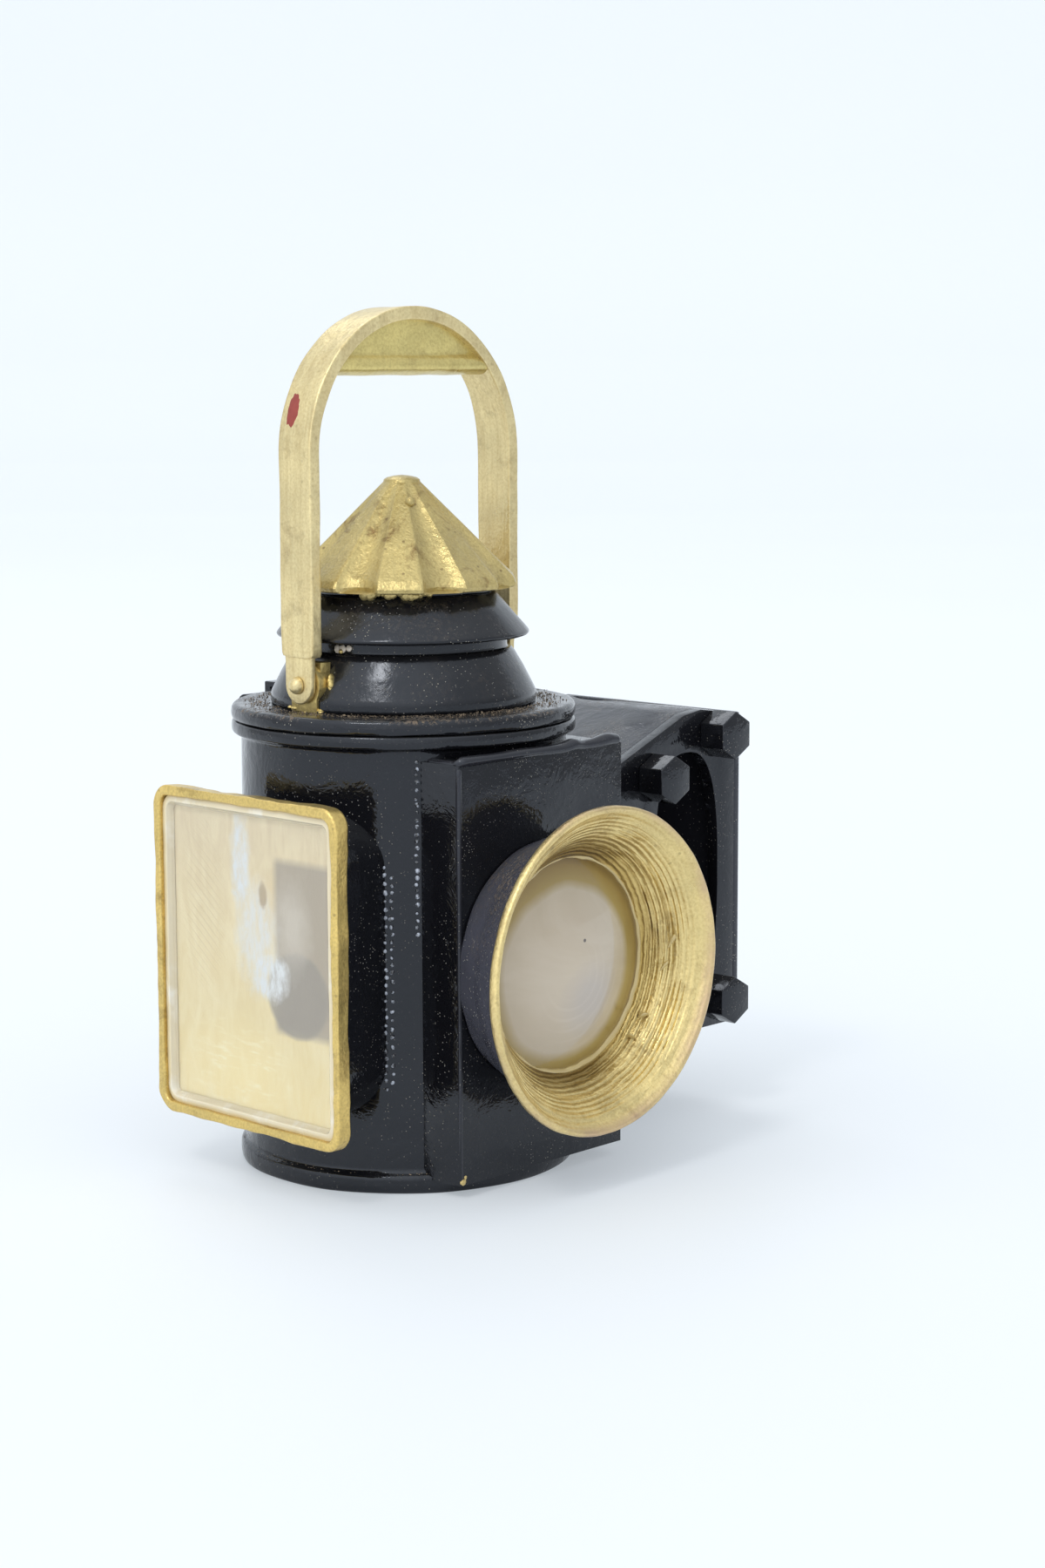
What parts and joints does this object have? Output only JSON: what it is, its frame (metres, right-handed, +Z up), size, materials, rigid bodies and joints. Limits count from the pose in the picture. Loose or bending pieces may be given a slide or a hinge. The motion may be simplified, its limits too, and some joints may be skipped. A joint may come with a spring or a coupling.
{
  "type": "candle lantern",
  "caption": "Small round candle lantern shaped like a signal lamp, with a bull's-eye lens, a square window, a bolted side box, a hinged lid and a swinging carrying handle.",
  "frame": {"origin": "centre of the flat underside, on the axis of the round body", "axes": "+Z up along the body's axis, -Y out through the bull's-eye lens, -X out through the square window, +X out along the side box"},
  "size_m": [0.0862, 0.0667, 0.124],
  "materials": {
    "black_enamel": "gloss enamel",
    "gold_paint": "satin gold paint",
    "lens_glass": "hazy convex glass",
    "window_glass": "clear bevelled glass",
    "smoked_glass": "smoked, frosted",
    "cream_backing": "satin",
    "bright_steel": "satin",
    "reflector_tin": "polished",
    "candle_tin": "thin pressed foil",
    "candle_wax": "waxy",
    "wick_cotton": "matt",
    "seal_rubber": "matt"
  },
  "bodies": {
    "body": {"body_shell": "black_enamel", "base_plate": "black_enamel", "lens_housing": "black_enamel", "lens_barrel": "black_enamel", "lens_bezel": "gold_paint", "front_lens": "lens_glass", "lens_gasket": "seal_rubber", "lens_retaining_ring": "bright_steel", "window_frame": "gold_paint", "window_glass": "window_glass", "window_backing": "cream_backing", "window_light_pane": "smoked_glass", "window_neck": "black_enamel", "side_box_shell": "black_enamel", "side_box_end_plate": "black_enamel", "side_box_cover": "black_enamel", "side_box_bolts": "black_enamel", "side_box_bosses": "black_enamel", "candle_tray": "bright_steel", "candle_cup": "candle_tin", "candle_wax": "candle_wax", "candle_wick": "wick_cotton", "reflector": "reflector_tin", "body_hinge_leaf": "black_enamel", "hinge_pin": "bright_steel"},
    "lid": {"lid_ring": "black_enamel", "roof_cone": "black_enamel", "chimney": "black_enamel", "roof_skirt": "black_enamel", "skirt_stays": "black_enamel", "cap_collar": "black_enamel", "roof_cap": "gold_paint", "handle_lug_left": "gold_paint", "handle_lug_right": "gold_paint", "pivot_rivet_left": "gold_paint", "pivot_rivet_right": "gold_paint", "lid_hinge_leaf": "black_enamel"},
    "handle": {"handle_strap": "gold_paint", "handle_web": "gold_paint"}
  },
  "joints": [
    {"name": "lid_open", "type": "hinge", "parent": "body", "child": "lid", "pos_m": [0, 0.0273, 0.06505], "axis": [-1, 0, 0], "range_deg": [0, 100]},
    {"name": "handle_swing", "type": "hinge", "parent": "lid", "child": "handle", "pos_m": [0, 0, 0.0711], "axis": [1, 0, 0], "range_deg": [-85, 85]}
  ]
}
